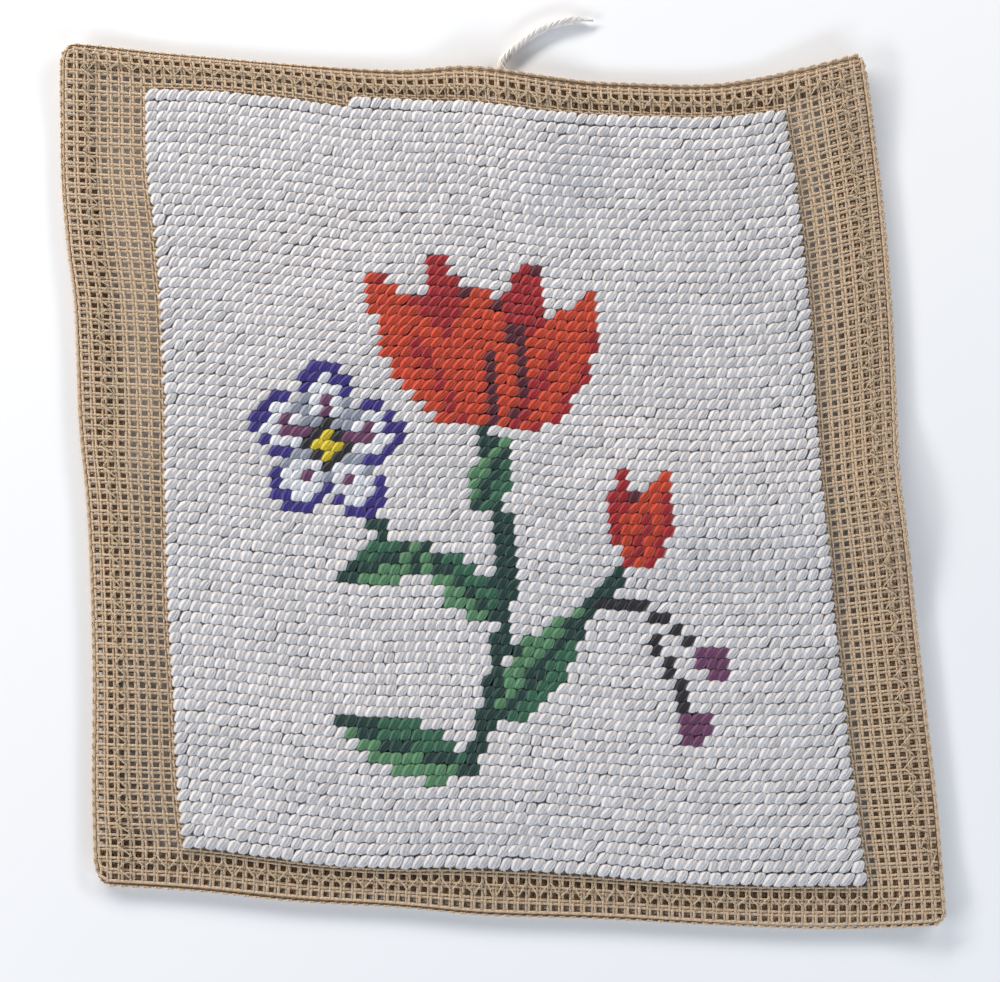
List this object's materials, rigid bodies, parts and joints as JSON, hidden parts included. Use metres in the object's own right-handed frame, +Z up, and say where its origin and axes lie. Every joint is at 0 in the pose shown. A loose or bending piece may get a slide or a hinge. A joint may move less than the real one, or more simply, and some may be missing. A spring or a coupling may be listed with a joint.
{
  "type": "needlepoint canvas panel",
  "caption": "Flat needlepoint panel of double-thread canvas with turned edges, wool tent stitches and a loose yarn end.",
  "frame": {"origin": "middle of the bottom of the panel's box, on the surface that it lies on", "axes": "+X to the right and +Y to the top of the worked side, +Z up out of the worked side"},
  "size_m": [0.216, 0.2187, 0.0064],
  "materials": {
    "canvas_cotton": "double-thread open canvas of stiff cotton, matt",
    "face_wool": "tent stitches in matt tapestry wool",
    "back_wool": "long slanting stitches in matt tapestry wool",
    "tail_wool": "twisted plies of matt tapestry wool"
  },
  "bodies": {
    "root": {"canvas": "canvas_cotton", "needlework_face": "face_wool", "needlework_back": "back_wool", "yarn_tail": "tail_wool"}
  },
  "joints": []
}
